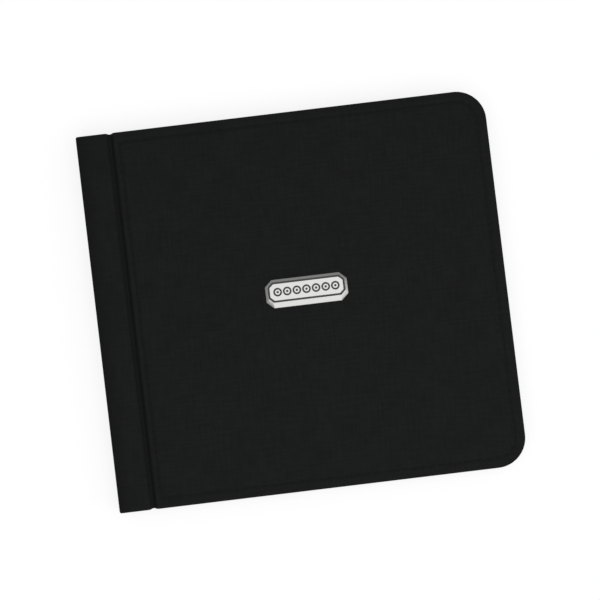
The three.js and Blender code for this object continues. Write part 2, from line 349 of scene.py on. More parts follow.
@dataclass(frozen=True)
class LeatherCloth:
    """Polyurethane-coated cotton, embossed with a slubbed linen grain and calendered.

    The coating gives a deep, even black with a low satin sheen. The slubs show as faint
    lighter and darker streaks along and across the cloth. A point attribute paints shade into
    the colour: it darkens the groove, the stitch valleys and the cloth by the spine edge.
    """

    colour: str = "#141615"
    streak: str = "#191b1a"
    # painted shade: the darker black that the groove, the stitch valleys and the spine edge are coloured
    # towards
    shaded_black: str = "#101211"
    roughness: float = 0.64
    roughness_swing: float = 0.03
    specular: float = 0.16
    cloud: float = 14.0 * MM
    cloud_weight: float = 0.22
    streak_range: Place = (0.48, 0.74)
    slub_length: float = 10.0 * MM
    slub_width: float = 1.1 * MM
    thread_length: float = 2.4 * MM
    thread_width: float = 0.4 * MM
    thread_weight: float = 0.5
    relief_strength: float = 0.3
    relief_height: float = 0.04 * MM

    def crossed(self, tree: Tree, length: float, width: float) -> Node:
        """Lays random threads along X and along Y, and averages them.

        Args:
            tree: The material's tree.
            length: How long a thread is.
            width: How wide it is.

        Returns:
            The node with the threads' height, from 0 to 1.
        """
        warp = grain(tree, (length, width, width), Detail=2.0, Roughness=0.5)
        weft = grain(tree, (width, length, width), Detail=2.0, Roughness=0.5)
        both = add(tree, "ShaderNodeMath", {"operation": "ADD"}, {0: warp, 1: weft})
        return add(tree, "ShaderNodeMath", {"operation": "MULTIPLY", 1: 0.5}, {0: both})

    def material(self) -> Material:
        """Builds the material.

        Returns:
            The material.
        """
        material, tree = new_material("black_leather_cloth")
        slubs = self.crossed(tree, self.slub_length, self.slub_width)
        threads = self.crossed(tree, self.thread_length, self.thread_width)
        cloud = grain(tree, self.cloud, Detail=1.0)
        weight = {"operation": "MULTIPLY_ADD", 1: self.cloud_weight}
        clouded = add(tree, "ShaderNodeMath", weight, {0: cloud, 2: slubs})
        low, high = self.streak_range
        share = add(
            tree, "ShaderNodeMapRange", {"From Min": low, "From Max": high}, {"Value": clouded}
        )
        colours = {"data_type": "RGBA", 6: linear(self.colour), 7: linear(self.streak)}
        streaked = add(tree, "ShaderNodeMix", colours, {0: share}).outputs[2]
        # painted shade: a point attribute mixes the colour towards the darker black in the groove, the
        # stitch valleys and near the spine edge
        painted_shade = add(
            tree, "ShaderNodeAttribute", {"attribute_type": "GEOMETRY", "attribute_name": "painted_shade"}
        ).outputs["Fac"]
        shaded_black = {"data_type": "RGBA", 7: linear(self.shaded_black)}
        tint = add(tree, "ShaderNodeMix", shaded_black, {0: painted_shade, 6: streaked}).outputs[2]
        swing = {
            "To Min": self.roughness + self.roughness_swing,
            "To Max": self.roughness - self.roughness_swing,
        }
        rough = add(tree, "ShaderNodeMapRange", swing, {"Value": share})
        weight = {"operation": "MULTIPLY_ADD", 1: self.thread_weight}
        relief = add(tree, "ShaderNodeMath", weight, {0: threads, 2: slubs})
        coat(
            tree,
            {"IOR": 1.5, "Specular IOR Level": self.specular},
            {"Base Color": tint, "Roughness": rough},
            relief=(relief, self.relief_strength, self.relief_height),
        )
        return material


@dataclass(frozen=True)
class SewingThread:
    """Bonded polyester thread, twisted from three plies, which gives fine slanting ridges; the lighter
    colour along them is painted sheen.
    """

    colour: str = "#101211"
    # painted sheen: the lighter colour along each ply's crest
    ply_sheen: str = "#1a1c1b"
    ply_pitch: float = 0.5 * MM
    plies_to_wave: float = 0.3
    fray: float = 0.6
    roughness: float = 0.75
    relief_strength: float = 0.5
    relief_height: float = 0.05 * MM

    def material(self) -> Material:
        """Builds the material.

        Returns:
            The material.
        """
        material, tree = new_material("black_thread")
        place = add(tree, "ShaderNodeTexCoord").outputs["Object"]
        scale = self.plies_to_wave / self.ply_pitch
        twist = {"bands_direction": "DIAGONAL", "Scale": scale, "Distortion": self.fray}
        plies = add(tree, "ShaderNodeTexWave", twist, {"Vector": place}).outputs["Fac"]
        # painted sheen: the colour turns lighter along each ply's crest
        coat(
            tree,
            {"Roughness": self.roughness, "Specular IOR Level": 0.2, "Sheen Weight": 0.05},
            tint=(plies, self.colour, self.ply_sheen),
            relief=(plies, self.relief_strength, self.relief_height),
        )
        return material


@dataclass(frozen=True)
class GrainedBoard:
    """A matt sheet made of short random fibres, pressed flat: card, or a non-woven lining."""

    name: str
    light: str
    dark: str
    fibre: float = 0.6 * MM
    roughness: float = 0.9
    fibre_range: Place = (0.35, 0.65)
    relief_strength: float = 0.4
    relief_height: float = 0.05 * MM

    def material(self) -> Material:
        """Builds the material.

        Returns:
            The material.
        """
        material, tree = new_material(self.name)
        fibres = grain(tree, self.fibre, Detail=5.0, Roughness=0.65, Distortion=0.8)
        low, high = self.fibre_range
        share = add(
            tree, "ShaderNodeMapRange", {"From Min": low, "From Max": high}, {"Value": fibres}
        )
        coat(
            tree,
            {"Roughness": self.roughness, "Specular IOR Level": 0.2},
            tint=(share, self.dark, self.light),
            relief=(fibres, self.relief_strength, self.relief_height),
        )
        return material


@dataclass(frozen=True)
class PlatedMetal:
    """Zinc or steel under bright nickel, polished and then brushed lightly along its length.

    The brushing draws reflections out along the plate and leaves hairline streaks.
    """

    name: str
    colour: str = "#e3e3e1"
    roughness: float = 0.27
    scratched: str = "#cfcfcd"
    hairline: float = 0.12 * MM
    stroke: float = 7.0 * MM
    polish: float = 0.05
    brushing: float = 0.08
    relief_strength: float = 0.15
    relief_height: float = 0.01 * MM

    def material(self) -> Material:
        """Builds the material.

        Returns:
            The material.
        """
        material, tree = new_material(self.name)
        lines = grain(tree, (self.stroke, self.hairline, self.hairline), Detail=3.0)
        swing = {"To Min": self.roughness - self.polish, "To Max": self.roughness + self.brushing}
        rough = add(tree, "ShaderNodeMapRange", swing, {"Value": lines})
        coat(
            tree,
            {"Metallic": 1.0},
            {"Roughness": rough},
            tint=(lines, self.scratched, self.colour),
            relief=(lines, self.relief_strength, self.relief_height),
        )
        return material


@dataclass(frozen=True)
class StovedEnamel:
    """Soft grey enamel, wiped into the sunk parts of the plate and stoved."""

    colour: str = "#565655"
    shade: str = "#4e4e4d"
    cloud: float = 0.5 * MM
    roughness: float = 0.5
    relief_strength: float = 0.2
    relief_height: float = 0.02 * MM

    def material(self) -> Material:
        """Builds the material.

        Returns:
            The material.
        """
        material, tree = new_material("grey_enamel_fill")
        cloud = grain(tree, self.cloud, Detail=3.0)
        coat(
            tree,
            {"Roughness": self.roughness, "Specular IOR Level": 0.3},
            tint=(cloud, self.shade, self.colour),
            relief=(cloud, self.relief_strength, self.relief_height),
        )
        return material


@dataclass(frozen=True)
class ClearVinyl:
    """Soft clear calendered vinyl, which lies a little wavy and hazes where it is welded."""

    name: str
    alpha: float
    ripple: float = 22.0 * MM
    colour: str = "#dfe6e8"
    refraction: float = 1.53
    roughness_range: Place = (0.08, 0.2)
    relief_strength: float = 0.5
    relief_height: float = 0.6 * MM

    def material(self) -> Material:
        """Builds the material.

        Returns:
            The material.
        """
        material, tree = new_material(self.name)
        ripples = grain(tree, self.ripple, Detail=2.0)
        low, high = self.roughness_range
        rough = add(tree, "ShaderNodeMapRange", {"To Min": low, "To Max": high}, {"Value": ripples})
        coat(
            tree,
            {"Base Color": linear(self.colour), "IOR": self.refraction, "Alpha": self.alpha},
            {"Roughness": rough},
            relief=(ripples, self.relief_strength, self.relief_height),
        )
        return material


@dataclass(frozen=True)
class LitFloor:
    """Opal acrylic lit softly from below, which keeps a white floor even under a black object."""

    colour: str = "#aaaaaa"
    light: str = "#ffffff"
    glow: float = 0.785

    def material(self) -> Material:
        """Builds the material.

        Returns:
            The material.
        """
        material, tree = new_material("lit_floor")
        settings = {
            "Base Color": linear(self.colour),
            "Roughness": 0.9,
            "Specular IOR Level": 0.0,
            "Emission Color": linear(self.light),
            "Emission Strength": self.glow,
        }
        coat(tree, settings)
        return material


@dataclass
class Finishes:
    """Every material of the album, built once from the finish that each field names."""

    leather_finish: LeatherCloth = LeatherCloth()
    thread_finish: SewingThread = SewingThread()
    board_finish: GrainedBoard = GrainedBoard("grey_board", "#9b948a", "#7d766c")
    lining_finish: GrainedBoard = GrainedBoard("black_lining", "#262827", "#1b1d1c")
    plate_finish: PlatedMetal = PlatedMetal("bright_nickel")
    steel_finish: PlatedMetal = PlatedMetal("zinced_steel", "#b4b6b8", 0.35)
    enamel_finish: StovedEnamel = StovedEnamel()
    film_finish: ClearVinyl = ClearVinyl("clear_vinyl", 0.11)
    weld_finish: ClearVinyl = ClearVinyl("hazed_weld", 0.26, 2.0 * MM)

    def __post_init__(self) -> None:
        """Builds the materials."""
        self.leather = self.leather_finish.material()
        self.thread = self.thread_finish.material()
        self.board = self.board_finish.material()
        self.lining = self.lining_finish.material()
        self.plate = self.plate_finish.material()
        self.steel = self.steel_finish.material()
        self.enamel = self.enamel_finish.material()
        self.film = self.film_finish.material()
        self.weld = self.weld_finish.material()


# ------------------------------------------------------------------------------ album layout


@dataclass
class Layout:
    """The album's driving sizes. Places come from the frame, widths are the maker's own."""

    strip_width: float = 15.0 * MM
    groove_width: float = 3.3 * MM
    corner_radius: float = 14.6 * MM
    spine_wall: float = 2.2 * MM
    stitch_inset: float = 4.8 * MM
    groove_stitch_inset: float = 2.5 * MM
    stitch_corner: float = 1.5 * MM
    stitch_turns: int = 10

    def __post_init__(self) -> None:
        """Reads the outer box from the frame and works out the lines that pieces share."""
        low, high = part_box("spine_skin")
        _, panel_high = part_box("front_cover_skin")
        self.spine = low.x
        self.fore_edge = panel_high.x
        self.half_height = panel_high.y
        self.bottom = low.z
        self.top = high.z
        self.strip_edge = self.spine + self.strip_width
        self.panel_edge = self.strip_edge + self.groove_width
        self.fold = self.strip_edge + self.groove_width / 2
        self.stitch_left = self.panel_edge + self.groove_stitch_inset
        self.stitch_right = self.fore_edge - self.stitch_inset
        self.stitch_top = self.half_height - self.stitch_inset
        self.stitch_radius = self.corner_radius - self.stitch_inset

    def height(self, side: Side, depth: float) -> float:
        """The height of a point this deep in from a cover's outer face."""
        return self.top - depth if side is Side.FRONT else self.bottom + depth

    def stitch_gap(self, x: float, y: float) -> float:
        """How far a point of a cover lies from its stitch line.

        Args:
            x: The point's place across the album.
            y: The point's place up the album.

        Returns:
            The distance, never negative.
        """
        middle = (self.stitch_left + self.stitch_right) / 2
        half = ((self.stitch_right - self.stitch_left) / 2, self.stitch_top)
        radius = self.stitch_radius if x > middle else self.stitch_corner
        return abs(outline_gap(x - middle, y, half, radius))

    def edge_gap(self, x: float, y: float) -> float:
        """How far a point of a cover lies in from the album's outline.

        Args:
            x: The point's place across the album.
            y: The point's place up the album.

        Returns:
            The distance, never negative.
        """
        middle = (self.spine + self.fore_edge) / 2
        radius = self.corner_radius if x > middle else 0.0
        half = (self.fore_edge - middle, self.half_height)
        return max(0.0, -outline_gap(x - middle, y, half, radius))

    def stitch_line(self) -> list[Place]:
        """The closed stitch line of a cover.

        Returns:
            Its points, anticlockwise from above.
        """
        top, outer, inner = self.stitch_top, self.stitch_radius, self.stitch_corner
        corners = (
            (self.stitch_right - outer, -top + outer, outer, -90),
            (self.stitch_right - outer, top - outer, outer, 0),
            (self.stitch_left + inner, top - inner, inner, 90),
            (self.stitch_left + inner, -top + inner, inner, 180),
        )
        return [
            on_arc((x, y), radius, angle)
            for x, y, radius, start in corners
            for angle in even(start, start + 90, self.stitch_turns)
        ]


# ------------------------------------------------------------------------------ sheets


@dataclass
class SheetNet:
    """The flat net of a sheet whose two fore-edge corners are round.

    The net is a grid up to the corners and turns round each corner in rings, so that its lines
    follow the sheet's edge. Points are kept by their flat place, and shared between patches.
    """

    snap: float = 1e-4 * MM
    flat: list[Place] = field(default_factory=list)
    outward: dict[int, Place] = field(default_factory=dict)
    faces: list[Face] = field(default_factory=list)
    numbers: dict[tuple[int, int], int] = field(default_factory=dict)

    def point(self, x: float, y: float) -> int:
        """The number of the point at a flat place, made if it is new.

        Args:
            x: The place across the sheet.
            y: The place up the sheet.

        Returns:
            The point's number.
        """
        key = (round(x / self.snap), round(y / self.snap))
        if key not in self.numbers:
            self.numbers[key] = len(self.flat)
            self.flat.append((x, y))
        return self.numbers[key]

    def patch(self, rows: Sequence[Sequence[int]]) -> None:
        """Fills the quads between rows of points.

        Args:
            rows: The points' numbers, as many in each row.
        """
        for lower, upper in zip(rows, rows[1:]):
            for a, b, c, d in zip(lower, lower[1:], upper[1:], upper):
                corners = tuple(dict.fromkeys((a, b, c, d)))
                if len(corners) > 2:
                    self.faces.append(corners)

    def cover(
        self, columns: Sequence[float], rows: Sequence[float], radii: Sequence[float], turns: int
    ) -> list[int]:
        """Nets a whole sheet.

        Args:
            columns: X stations from the spine side to the centre of the round corners.
            rows: Y stations between the centres of the two round corners.
            radii: Distances from a corner's centre to the sheet's edge, from 0 upwards.
            turns: Steps round each corner.

        Returns:
            The edge points in order, from the spine's tail round the fore-edge to its head.
        """
        corner_x = columns[-1]
        full_rows = [rows[0] - r for r in reversed(radii[1:])] + list(rows)
        full_rows += [rows[-1] + r for r in radii[1:]]
        self.patch([[self.point(x, y) for x in columns] for y in full_rows])
        self.patch([[self.point(corner_x + r, y) for r in radii] for y in rows])
        for corner_y, hand in ((rows[-1], 1), (rows[0], -1)):
            rays = [
                [self.point(*on_arc((corner_x, corner_y), r, angle)) for r in radii]
                for angle in even(0, 90 * hand, turns)
            ]
            self.patch(rays[::hand])
        return self.edge(columns, rows, radii[-1], turns)

    def edge(
        self, columns: Sequence[float], rows: Sequence[float], radius: float, turns: int
    ) -> list[int]:
        """Lists the edge points in order and notes which way is outward at each.

        Args:
            columns: X stations from the spine side to the centre of the round corners.
            rows: Y stations between the centres of the two round corners.
            radius: The distance from a corner's centre to the sheet's edge.
            turns: Steps round each corner.

        Returns:
            The points' numbers, from the spine's tail round the fore-edge to its head.
        """
        corner_x = columns[-1]
        places = [((x, rows[0] - radius), (0.0, -1.0)) for x in columns]
        for corner_y, start, side_rows in ((rows[0], -90, rows[1:]), (rows[-1], 0, ())):
            for angle in even(start, start + 90, turns)[1:]:
                way = on_arc((0.0, 0.0), 1.0, angle)
                places.append((on_arc((corner_x, corner_y), radius, angle), way))
            places += [((corner_x + radius, y), (1.0, 0.0)) for y in side_rows]
        places += [((x, rows[-1] + radius), (0.0, 1.0)) for x in reversed(columns[:-1])]
        numbers = []
        for place, way in places:
            number = self.point(*place)
            self.outward[number] = way
            numbers.append(number)
        return numbers


@dataclass
class CoverSkin:
    """Leather-cloth over one cover, its groove, its strip and half of the spine, in one sheet."""

    layout: Layout
    side: Side
    edge_radius: float = 1.1 * MM
    under_share: float = 0.7
    spine_radius: float = 1.3 * MM
    turn_in: float = 3.2 * MM
    flange_depth: float = 3.25 * MM
    cloth: float = 0.45 * MM
    groove_depth: float = 1.05 * MM
    groove_notch: float = 0.6 * MM
    groove_reach: float = 1.35
    valley_depth: float = 0.24 * MM
    valley_width: float = 0.75 * MM
    # painted shade: how much of it the stitch valleys get
    stitch_shade_share: float = 0.4
    edge_fall: float = 0.4 * MM
    fall_reach: float = 5.0 * MM
    shoulder: float = 0.6 * MM
    groove_steps: int = 24
    round_steps: int = 6
    corner_turns: int = 16
    face_step: float = 0.22 * MM
    face_longest: float = 6.0 * MM
    spine_step: float = 0.6 * MM
    spine_longest: float = 2.0 * MM
    corner_step: float = 0.3 * MM
    corner_longest: float = 3.0 * MM
    sharp_angle: float = 50.0

    def groove_share(self, x: float) -> float:
        """How far into the groove a place lies, from 0 outside it to 1 along its floor."""
        off_centre = abs(x - self.layout.fold) / (self.layout.groove_width / 2)
        return 1 - ease(off_centre / self.groove_reach)

    def pull(self, x: float, y: float) -> float:
        """How strongly the stitches draw the face in at a place.

        Args:
            x: The place across the album.
            y: The place up the album.

        Returns:
            The pull, from 0 to 1.
        """
        if x < self.layout.panel_edge:
            return 0.0
        return math.exp(-((self.layout.stitch_gap(x, y) / self.valley_width) ** 2))

    def sink(self, x: float, y: float) -> float:
        """How deep the groove, the stitches and the edges take the face under the flat.

        Args:
            x: The place across the album.
            y: The place up the album.

        Returns:
            The depth.
        """
        near = max(0.0, 1 - self.layout.edge_gap(x, y) / self.fall_reach)
        fall = self.edge_fall * near * near
        return self.groove_depth * self.groove_share(x) + self.valley_depth * self.pull(x, y) + fall

    def painted_shade(self, x: float, y: float) -> float:
        """How much painted shade darkens the cloth at a place.

        Args:
            x: The place across the album.
            y: The place up the album.

        Returns:
            The weight of the painted shade, from 0 on the flat to 1.
        """
        # painted shade that grows over the last few millimetres to the spine edge and over the spine
        spine_shade = ease(1 - (x - self.layout.spine) / self.fall_reach)
        return max(self.groove_share(x), self.stitch_shade_share * self.pull(x, y), spine_shade)

    def route(self, s: float) -> Point:
        """The skin's path in section, from the middle of the spine up and over the strip.

        Args:
            s: The place along the path. On the flat it is X.

        Returns:
            X, the depth in from the cover's outer face, and how level the face lies, from 0 to 1.
        """
        flat_start = self.layout.spine + self.spine_radius
        if s >= flat_start:
            return s, 0.0, 1.0
        turn = (flat_start - s) / self.spine_radius
        if turn <= math.pi / 2:
            x = flat_start - self.spine_radius * math.sin(turn)
            return x, self.spine_radius * (1 - math.cos(turn)), math.cos(turn)
        down = (turn - math.pi / 2) * self.spine_radius
        return self.layout.spine, self.spine_radius + down, 0.0

    def face_point(self, s: float, y: float) -> Point:
        """Where a flat place of the net lies on the finished face.

        Args:
            s: The place along the skin's path.
            y: The place up the album.

        Returns:
            The point.
        """
        x, depth, level = self.route(s)
        squeeze = 1 - self.groove_notch * self.groove_share(s) / self.layout.half_height
        return (x, y * squeeze, self.layout.height(self.side, depth + self.sink(s, y) * level))

    def edge_profile(self) -> list[Place]:
        """The turned edge in section.

        Returns:
            Steps outward from the net's edge, and how far down the cover's edge each lies, from
            0 at the face to 1 at the inner side.
        """
        radius, depth = self.edge_radius, self.flange_depth
        under = radius * self.under_share
        turns = [math.radians(angle) for angle in even(0, 90, self.round_steps)]
        profile = [(radius * math.sin(t), radius * (1 - math.cos(t)) / depth) for t in turns[1:]]
        profile += [
            (radius - under * (1 - math.cos(t)), (depth - under * (1 - math.sin(t))) / depth)
            for t in turns
        ]
        profile.append((radius - self.turn_in, 1.0))
        return profile

    def ring(self, net: SheetNet, edge: Sequence[int], out: float, down: float) -> list[Point]:
        """One line of points round the turned edge.

        Args:
            net: The sheet's net.
            edge: The net's edge points in order.
            out: How far outward of the net's edge the line lies.
            down: Its place between the face, 0, and the inner side, 1.

        Returns:
            The line's points, one to each edge point.
        """
        inner_x = self.layout.spine + self.layout.spine_wall
        inner_z = self.layout.height(self.side, self.flange_depth)
        way = self.side.value
        line = []
        for number in edge:
            s, y = net.flat[number]
            out_x, out_y = net.outward[number]
            x, face_y, z = self.face_point(s, y)
            goal_x = max(x, inner_x)
            goal_z = min(z * way, inner_z * way) * way
            line.append((
                x + (goal_x - x) * down + out * out_x,
                face_y + out * out_y,
                z + (goal_z - z) * down,
            ))
        return line

    def path_stations(self) -> list[float]:
        """Stations along the skin's path, close together where it bends or is sewn.

        Returns:
            The places from the middle of the spine to the centre of the round corners.
        """
        layout = self.layout
        flat_start = layout.spine + self.spine_radius
        half_thickness = (layout.top - layout.bottom) / 2
        quarter = self.spine_radius * math.pi / 2
        path_start = flat_start - quarter - (half_thickness - self.spine_radius)
        bend = [flat_start - quarter * k / self.round_steps for k in range(self.round_steps, 0, -1)]
        corner_x = layout.fore_edge - layout.corner_radius
        rise, fall = layout.strip_edge - self.shoulder, layout.panel_edge + self.shoulder
        focuses = (fall, layout.stitch_left)
        return [
            *graded(path_start, bend[0], (bend[0],), self.spine_step, self.spine_longest)[:-1],
            *bend,
            *graded(flat_start, rise, (rise,), self.face_step, self.face_longest)[:-1],
            *even(rise, fall, self.groove_steps),
            *graded(fall, corner_x, focuses, self.face_step, self.face_longest)[1:],
        ]

    def build(self, finishes: Finishes) -> Piece:
        """Makes the skin as one closed shell.

        Args:
            finishes: The album's materials.

        Returns:
            The dressed skin.
        """
        layout = self.layout
        radius = layout.corner_radius - self.edge_radius
        corner_y = layout.half_height - layout.corner_radius
        rows = graded(-corner_y, corner_y, (), self.face_longest, self.face_longest)
        focuses = (layout.stitch_radius, radius)
        radii = graded(0.0, radius, focuses, self.corner_step, self.corner_longest)
        net = SheetNet()
        edge = net.cover(self.path_stations(), rows, radii, self.corner_turns)
        points = [self.face_point(x, y) for x, y in net.flat]
        # the painted shade's weight at each point, read by the leather's colour
        painted_shade = [self.painted_shade(x, y) for x, y in net.flat]
        faces = list(net.faces)
        line = list(edge)
        for out, down in self.edge_profile():
            fresh = range(len(points), len(points) + len(edge))
            points += self.ring(net, edge, out, down)
            painted_shade += [painted_shade[number] for number in edge]
            faces += zip(line, fresh, fresh[1:], line[1:])
            line = list(fresh)
        if self.side is Side.REAR:
            faces = [face[::-1] for face in faces]
        skin = mesh_piece(f"{self.side.word}_leather_skin", points, faces, [finishes.leather])
        skin.data.attributes.new("painted_shade", "FLOAT", "POINT").data.foreach_set("value", painted_shade)
        thicken(skin, self.cloth)
        shade_by_angle(skin, self.sharp_angle)
        return self.dress(skin)

    def dress(self, skin: Piece) -> Piece:
        """Hides the frame's cover skin and spine skin, and bakes the skin's placement into its mesh.

        Args:
            skin: The finished shell.

        Returns:
            The same piece.
        """
        height = self.layout.height(self.side, 0.0)
        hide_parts(f"{self.side.cover}_skin", "spine_skin")
        self.side.cover
        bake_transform(skin)
        return skin


@dataclass
class CoverLining:
    """Black lining over the inner side of one cover, run through the groove under the strip."""

    layout: Layout
    side: Side
    inset: float = 2.1 * MM
    depth: float = 3.4 * MM
    cloth: float = 0.3 * MM
    spine_gap: float = 0.1 * MM
    bend_steps: int = 16
    corner_turns: int = 12
    face_step: float = 0.5 * MM
    face_longest: float = 8.0 * MM
    corner_step: float = 3.0 * MM
    sharp_angle: float = 30.0

    def build(self, finishes: Finishes) -> Piece:
        """Makes the lining as one closed thin sheet.

        Args:
            finishes: The album's materials.

        Returns:
            The dressed lining.
        """
        layout = self.layout
        corner_x = layout.fore_edge - layout.corner_radius
        corner_y = layout.half_height - layout.corner_radius
        panel = (layout.panel_edge, corner_x, (layout.panel_edge,))
        columns = [
            layout.spine + layout.spine_wall + self.spine_gap,
            *even(layout.strip_edge, layout.panel_edge, self.bend_steps),
            *graded(*panel, self.face_step, self.face_longest)[1:],
        ]
        rows = graded(-corner_y, corner_y, (), self.face_longest, self.face_longest)
        reach = layout.corner_radius - self.inset
        radii = graded(0.0, reach, (), self.corner_step, self.corner_step)
        net = SheetNet()
        net.cover(columns, rows, radii, self.corner_turns)
        height = layout.height(self.side, self.depth)
        points = [(x, y, height) for x, y in net.flat]
        faces = net.faces
        if self.side is Side.FRONT:
            faces = [face[::-1] for face in faces]
        lining = mesh_piece(f"{self.side.word}_cloth_lining", points, faces, [finishes.lining])
        thicken(lining, self.cloth)
        shade_by_angle(lining, self.sharp_angle)
        return self.dress(lining)

    def dress(self, lining: Piece) -> Piece:
        """Hides the frame's cover lining and strip lining, and bakes the lining's placement into its
        mesh.

        Args:
            lining: The finished sheet.

        Returns:
            The same piece.
        """
        height = self.layout.height(self.side, self.depth)
        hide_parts(f"{self.side.cover}_lining", f"{self.side.word}_strip_lining")
        self.side.cover
        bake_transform(lining)
        return lining


# ------------------------------------------------------------------------------ repeats


def set_inputs(modifier: bpy.types.Modifier, values: dict[str, object]) -> None:
    """Sets a Geometry Nodes modifier's inputs by their sockets' identifiers.

    Args:
        modifier: The modifier, with its tree.
        values: The inputs by name.
    """
    for item in modifier.node_group.interface.items_tree:
        if item.item_type == "SOCKET" and item.in_out == "INPUT" and item.name in values:
            modifier[item.identifier] = values[item.name]


def new_generator(name: str, floats: Sequence[str], others: dict[str, str]) -> tuple[Tree, Node]:
    """Starts a Geometry Nodes tree whose inputs are its geometry, numbers and a material.

    Args:
        name: The tree's name.
        floats: The names of its plain numbers.
        others: The names and socket types of its other inputs.

    Returns:
        The tree and the node with its inputs.
    """
    tree = bpy.data.node_groups.new(name, "GeometryNodeTree")
    tree.interface.new_socket("Geometry", in_out="INPUT", socket_type="NodeSocketGeometry")
    kinds = {**dict.fromkeys(floats, "NodeSocketFloat"), **others, "Material": "NodeSocketMaterial"}
    for label, kind in kinds.items():
        tree.interface.new_socket(label, in_out="INPUT", socket_type=kind)
    tree.interface.new_socket("Geometry", in_out="OUTPUT", socket_type="NodeSocketGeometry")
    return tree, add(tree, "NodeGroupInput")


def set_out(
    tree: Tree, source: Node, spots: Node, item: Node | Socket, turn: Node | None = None
) -> None:
    """Sets one item at every spot and links the result to the tree's output.

    Args:
        tree: The tree.
        source: The node with its inputs.
        spots: The points to stand on.
        item: What stands on each.
        turn: How each is turned.
    """
    links = {"Points": spots, "Instance": item}
    if turn:
        links["Rotation"] = turn
    copies = add(tree, "GeometryNodeInstanceOnPoints", None, links)
    real = add(tree, "GeometryNodeRealizeInstances", None, {"Geometry": copies})
    finish = {"Geometry": real, "Material": source.outputs["Material"]}
    painted = add(tree, "GeometryNodeSetMaterial", None, finish)
    add(tree, "NodeGroupOutput", None, {"Geometry": painted})


def spots_along(tree: Tree, source: Node, pitch: str) -> tuple[Node, Node]:
    """Spaces spots evenly along the tree's wire and aims them along it.

    Args:
        tree: The tree.
        source: The node with its inputs.
        pitch: The name of the input with the spacing.

    Returns:
        The node with the spots and the node with their rotation.
    """
    line = add(tree, "GeometryNodeMeshToCurve", None, {"Mesh": source.outputs["Geometry"]})
    spacing = {"Curve": line, "Length": source.outputs[pitch]}
    spots = add(tree, "GeometryNodeCurveToPoints", {"mode": "LENGTH"}, spacing)
    aim = {"axis": "X", "pivot_axis": "Z"}
    tangent = {"Vector": spots.outputs["Tangent"]}
    return spots, add(tree, "FunctionNodeAlignRotationToVector", aim, tangent)


def stitch_tree() -> Tree:
    """Stitches along a line: each is an arched length of thread that dives in at both ends.

    Returns:
        The tree.
    """
    floats = ("Stitch Pitch", "Stitch Length", "Thread Radius", "Arch", "Slant", "Wander")
    tree, source = new_generator("stitches_along_a_line", floats, {"Seed": "NodeSocketInt"})
    given = source.outputs
    spots, aimed = spots_along(tree, source, "Stitch Pitch")
    either_way = {"data_type": "FLOAT", 2: -1.0, 3: 1.0}
    drift = add(tree, "FunctionNodeRandomValue", either_way, {"Seed": given["Seed"]}).outputs[1]
    swayed = {0: drift, 1: given["Wander"], 2: given["Slant"]}
    sway = add(tree, "ShaderNodeMath", {"operation": "MULTIPLY_ADD"}, swayed)
    yaw = add(tree, "ShaderNodeCombineXYZ", None, {"Z": sway})
    spin = add(tree, "FunctionNodeEulerToRotation", None, {"Euler": yaw})
    local = {"rotation_space": "LOCAL"}
    turned = add(tree, "FunctionNodeRotateRotation", local, {"Rotation": aimed, 1: spin})
    halved, negated = ({"operation": "MULTIPLY", 1: by} for by in (0.5, -1.0))
    half = add(tree, "ShaderNodeMath", halved, {0: given["Stitch Length"]})
    back = add(tree, "ShaderNodeMath", negated, {0: half})
    dive = add(tree, "ShaderNodeMath", negated, {0: given["Arch"]})
    start, end = (
        add(tree, "ShaderNodeCombineXYZ", None, {"X": x, "Z": dive}) for x in (back, half)
    )
    crown = add(tree, "ShaderNodeCombineXYZ", None, {"Z": given["Arch"]})
    bow = {"Start": start, "Middle": crown, "End": end}
    arch = add(tree, "GeometryNodeCurveQuadraticBezier", {"Resolution": ARCH_STEPS}, bow)
    radius = {"Radius": given["Thread Radius"]}
    section = add(tree, "GeometryNodeCurvePrimitiveCircle", {"Resolution": THREAD_SIDES}, radius)
    thread = {"Curve": arch, "Profile Curve": section}
    strand = add(tree, "GeometryNodeCurveToMesh", {"Fill Caps": True}, thread)
    set_out(tree, source, spots, strand, turned)
    return tree


def rib_tree() -> Tree:
    """Pressed ribs along straight weld lines: each is a low bar that lies across its line.

    Returns:
        The tree.
    """
    size = {"Rib Size": "NodeSocketVector"}
    tree, source = new_generator("ribs_along_a_weld", ("Rib Pitch",), size)
    spots, aimed = spots_along(tree, source, "Rib Pitch")
    bar = add(tree, "GeometryNodeMeshCube", None, {"Size": source.outputs["Rib Size"]})
    set_out(tree, source, spots, bar, aimed)
    return tree


def disc_tree() -> Tree:
    """A row of plain coin discs: each is a ring with a dot in it, standing on the plate.

    Returns:
        The tree.
    """
    floats = ("Ring Radius", "Ring Width", "Dot Radius", "Relief")
    tree, source = new_generator("row_of_coin_discs", floats, {})
    given = source.outputs
    spots = add(tree, "GeometryNodeMeshToPoints", None, {"Mesh": given["Geometry"]})
    sides = {"Width": given["Ring Width"], "Height": given["Relief"]}
    section = add(tree, "GeometryNodeCurvePrimitiveQuadrilateral", None, sides)
    radius = {"Radius": given["Ring Radius"]}
    loop = add(tree, "GeometryNodeCurvePrimitiveCircle", {"Resolution": RING_SIDES}, radius)
    swept = {"Curve": loop, "Profile Curve": section}
    ring = add(tree, "GeometryNodeCurveToMesh", None, swept)
    sizes = {"Radius": given["Dot Radius"], "Depth": given["Relief"]}
    dot = add(tree, "GeometryNodeMeshCylinder", {"Vertices": DOT_SIDES}, sizes)
    both = add(tree, "GeometryNodeJoinGeometry", None, {0: ring})
    tree.links.new(dot.outputs["Mesh"], both.inputs[0])
    set_out(tree, source, spots, both)
    return tree


